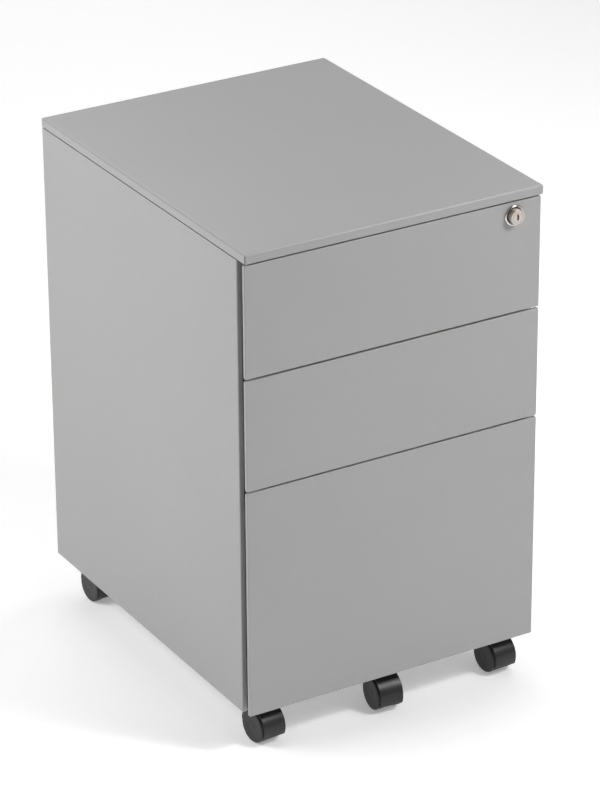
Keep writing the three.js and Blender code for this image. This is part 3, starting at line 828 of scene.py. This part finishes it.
class PEDESTAL_OT_fasteners(bpy.types.Operator):
    """Adds the screws, rivets, rail clips and bumpers"""

    bl_idname = "pedestal.fasteners"
    bl_label = "Fasteners"

    def execute(self, context):
        sizes = context.scene.pedestal.fasteners
        self.back_screws(sizes)
        self.castor_screws(sizes)
        self.runner_rivets(sizes)
        self.rail_clips()
        self.bumpers()
        return {"FINISHED"}

    def back_screws(self, sizes):
        for side in SIDES:
            low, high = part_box(f"{side}_side")
            x = (low.x + high.x) / 2
            for count, z in enumerate(BACK_SCREW_HEIGHTS, 1):
                bm = bmesh.new()
                screw_head(bm, (x, high.y, z), (0, 1, 0), sizes.screw_radius, sizes.screw_height)
                new_piece(f"back_screw_{side}_{count}", bm, "zinc", "carcass")

    def castor_screws(self, sizes):
        for castor in CASTORS:
            stem = JOINTS[f"{castor}_turn"]["pos_m"]
            body = "drawer_3" if castor == "castor_front_centre" else "carcass"
            bm = bmesh.new()
            for x in (-CASTOR_SCREW_OFFSET, CASTOR_SCREW_OFFSET):
                for y in (-CASTOR_SCREW_OFFSET, CASTOR_SCREW_OFFSET):
                    screw_head(bm, (stem[0] + x, stem[1] + y, CASTOR_PLATE_BOTTOM), (0, 0, -1),
                               sizes.screw_radius * 0.8, sizes.screw_height)
            new_piece(f"{castor}_screws", bm, "steel", body)

    def runner_rivets(self, sizes):
        for drawer in DRAWERS:
            for side, way in zip(SIDES, (-1, 1)):
                low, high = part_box(f"{drawer}_runner_moving_{side}")
                middle = (low.z + high.z) / 2
                bm = bmesh.new()
                for y in RIVET_DEPTHS:
                    rivet_head(bm, (way * BOX_INNER_WALL, y, middle), (-way, 0, 0), sizes.rivet_radius,
                               sizes.rivet_height)
                new_piece(f"{drawer}_rivets_{side}", bm, "zinc", drawer)

    def rail_clips(self):
        for side in SIDES:
            low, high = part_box(f"file_rail_{side}")
            x = (low.x + high.x) / 2
            half = (high.x - low.x) / 2 + 0.9 * MM
            depth = high.z - low.z + 0.9 * MM
            path = [(half, 0), (half, -depth), (-half, -depth), (-half, 0)]
            for end, front in (("front", low.y + 0.3 * MM), ("back", high.y - CLIP_LENGTH - 0.3 * MM)):
                bm = bmesh.new()
                upright = Matrix.Translation((x, front, high.z)) @ Matrix.Rotation(math.radians(90), 4, "X")
                prism(bm, folded_outline(path, 0.8 * MM, 1.3 * MM), -CLIP_LENGTH, 0, upright)
                new_piece(f"file_rail_clip_{side}_{end}", bm, "zinc", "drawer_3")

    def bumpers(self):
        low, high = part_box("front_top_rail")
        for side, way in zip(SIDES, (-1, 1)):
            bm = bmesh.new()
            seat = looking((0, -1, 0), (way * BUMPER_ACROSS, low.y, BUMPER_HEIGHT))
            revolve(bm, list(BUMPER_PROFILE), 32, seat)
            new_piece(f"rubber_bumper_{side}", bm, "castor_plastic", "carcass")


class PEDESTAL_OT_studio(bpy.types.Operator):
    """Sets the pale floor, the soft lights and the camera"""

    bl_idname = "pedestal.studio"
    bl_label = "Studio"

    def execute(self, context):
        look = context.scene.pedestal.studio
        bm = bmesh.new()
        bmesh.ops.create_circle(bm, cap_ends=True, segments=96, radius=30)
        mesh = bpy.data.meshes.new("studio_floor")
        bm.to_mesh(mesh)
        bm.free()
        floor = bpy.data.objects.new("studio_floor", mesh)
        context.scene.collection.objects.link(floor)
        mesh.materials.append(studio_floor("studio_floor", tuple(look.floor_tone), look.floor_glow))

        world = bpy.data.worlds.new("studio_sky")
        world.use_nodes = True
        world.node_tree.nodes["Background"].inputs["Color"].default_value = (1, 1, 1, 1)
        world.node_tree.nodes["Background"].inputs["Strength"].default_value = look.sky_strength
        context.scene.world = world
        for name, place, target, size, power in SOFT_LIGHTS:
            self.soft_light(name, place, target, size, getattr(look, power))
        context.scene.view_settings.view_transform = "Standard"
        self.camera(context)
        return {"FINISHED"}

    def soft_light(self, name, place, target, size, power):
        data = bpy.data.lights.new(name, "AREA")
        data.shape = "SQUARE"
        data.size = size
        data.energy = power
        light = bpy.data.objects.new(name, data)
        light.location = place
        light.rotation_mode = "QUATERNION"
        light.rotation_quaternion = (Vector(target) - Vector(place)).to_track_quat("-Z", "Y")
        bpy.context.scene.collection.objects.link(light)

    def camera(self, context):
        data = bpy.data.cameras.new("camera")
        data.sensor_width = 36
        data.lens = CAMERA_LENS
        data.clip_end = 100
        camera = bpy.data.objects.new("camera", data)
        camera.location = CAMERA_PLACE
        camera.rotation_mode = "QUATERNION"
        turned = Matrix.Rotation(CAMERA_AZIMUTH, 3, "Z")
        tilted = turned @ Matrix.Rotation(math.pi / 2 - CAMERA_ELEVATION, 3, "X")
        camera.rotation_quaternion = (tilted @ Matrix.Rotation(CAMERA_ROLL, 3, "Z")).to_quaternion()
        context.scene.collection.objects.link(camera)
        context.scene.camera = camera


class PEDESTAL_PT_builder(bpy.types.Panel):
    """Lists the cabinet's settings and builders"""

    bl_label = "Pedestal cabinet"
    bl_idname = "PEDESTAL_PT_builder"
    bl_space_type = "VIEW_3D"
    bl_region_type = "UI"
    bl_category = "Pedestal"

    def draw(self, context):
        settings = context.scene.pedestal
        for group in (settings.finishes, settings.folds, settings.castors, settings.fasteners,
                      settings.studio):
            column = self.layout.column(align=True)
            for name in group.bl_rna.properties.keys():
                if name not in ("rna_type", "name"):
                    column.prop(group, name)
        column = self.layout.column(align=True)
        for builder in BUILDERS:
            column.operator(builder.bl_idname)


BUILDERS = (
    PEDESTAL_OT_studio,
    PEDESTAL_OT_panels,
    PEDESTAL_OT_top_cover,
    PEDESTAL_OT_drawer_fronts,
    PEDESTAL_OT_drawer_boxes,
    PEDESTAL_OT_runners,
    PEDESTAL_OT_lock,
    PEDESTAL_OT_castors,
    PEDESTAL_OT_fasteners,
)
SETTINGS = (PedestalFinishes, PedestalFolds, CastorDetails, FastenerDetails, StudioLook, PedestalSettings)


def register():
    for group in (*SETTINGS, *BUILDERS, PEDESTAL_PT_builder):
        bpy.utils.register_class(group)
    bpy.types.Scene.pedestal = bpy.props.PointerProperty(type=PedestalSettings)


def unregister():
    del bpy.types.Scene.pedestal
    for group in reversed((*SETTINGS, *BUILDERS, PEDESTAL_PT_builder)):
        bpy.utils.unregister_class(group)


def main():
    register()
    for builder in BUILDERS:
        folder, name = builder.bl_idname.split(".")
        getattr(getattr(bpy.ops, folder), name)()


if __name__ == "__main__":
    main()
